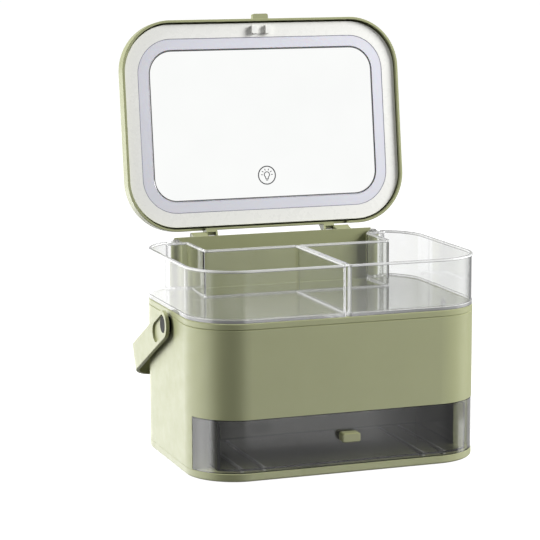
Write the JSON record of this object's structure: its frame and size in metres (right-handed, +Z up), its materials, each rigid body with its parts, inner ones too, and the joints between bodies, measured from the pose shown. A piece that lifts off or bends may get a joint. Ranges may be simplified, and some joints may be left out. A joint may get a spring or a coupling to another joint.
{
  "type": "makeup organizer with mirror",
  "caption": "Rounded green cosmetics case with a hinged lighted mirror lid, swing-out clear trays, a smoked clear front drawer and a folding bail handle.",
  "frame": {"origin": "centre of the case's footprint, on the plane its feet stand on", "axes": "+Z up, -Y the drawer side, +X to the right when facing the drawer"},
  "size_m": [0.294, 0.2617, 0.4073],
  "materials": {
    "green": "satin",
    "green_light": "satin",
    "clear": "clear polished",
    "smoked": "clear smoked",
    "white": "gloss",
    "diffuser": "translucent",
    "mirror": "polished",
    "inner_white": "matt",
    "steel": "plain",
    "pivot_black": "satin",
    "nylon": "matt",
    "rubber": "matt",
    "board": "matt",
    "sensor": "plain",
    "cell": "plain",
    "socket": "plain"
  },
  "bodies": {
    "case": {"base_plate": "green", "body_shell": "green", "drawer_bay": "green", "top_rim": "green", "back_wall": "green", "glide_strips": "nylon", "rubber_feet": "rubber", "base_screws": "steel", "tray_pivot_pins": "steel", "handle_studs": "pivot_black", "handle_washers": "pivot_black", "lid_hinge_pins": "steel"},
    "drawer": {"drawer_front": "smoked", "drawer_box": "smoked", "drawer_pull": "green_light", "pull_screw": "steel"},
    "left_tray_body": {"left_tray": "clear"},
    "right_tray_body": {"right_tray": "clear"},
    "lid": {"lid_shell": "green", "lid_frame": "white", "light_diffuser": "diffuser", "mirror_glass": "mirror", "touch_sensor": "sensor", "backing_board": "inner_white", "lid_screws": "steel", "light_strip": "board", "battery_cell": "cell", "control_board": "board", "charging_socket": "socket", "lid_catch": "white", "lift_tab": "green"},
    "handle": {"handle_bail": "green"}
  },
  "joints": [
    {"name": "drawer_slide", "type": "slide", "parent": "case", "child": "drawer", "axis": [0, -1, 0], "range_m": [0, 0.082]},
    {"name": "left_tray_swing", "type": "hinge", "parent": "case", "child": "left_tray_body", "pos_m": [-0.10241, 0.09145, 0.15], "axis": [0, 0, -1], "range_deg": [0, 95]},
    {"name": "right_tray_swing", "type": "hinge", "parent": "case", "child": "right_tray_body", "pos_m": [0.10241, 0.09145, 0.15], "axis": [0, 0, 1], "range_deg": [0, 95]},
    {"name": "lid_hinge", "type": "hinge", "parent": "case", "child": "lid", "pos_m": [0, 0.108, 0.1937], "axis": [-1, 0, 0], "range_deg": [-97.76, 0]},
    {"name": "handle_swing", "type": "hinge", "parent": "case", "child": "handle", "pos_m": [0, -0.006, 0.1312], "axis": [-1, 0, 0], "range_deg": [-46, 0]}
  ]
}
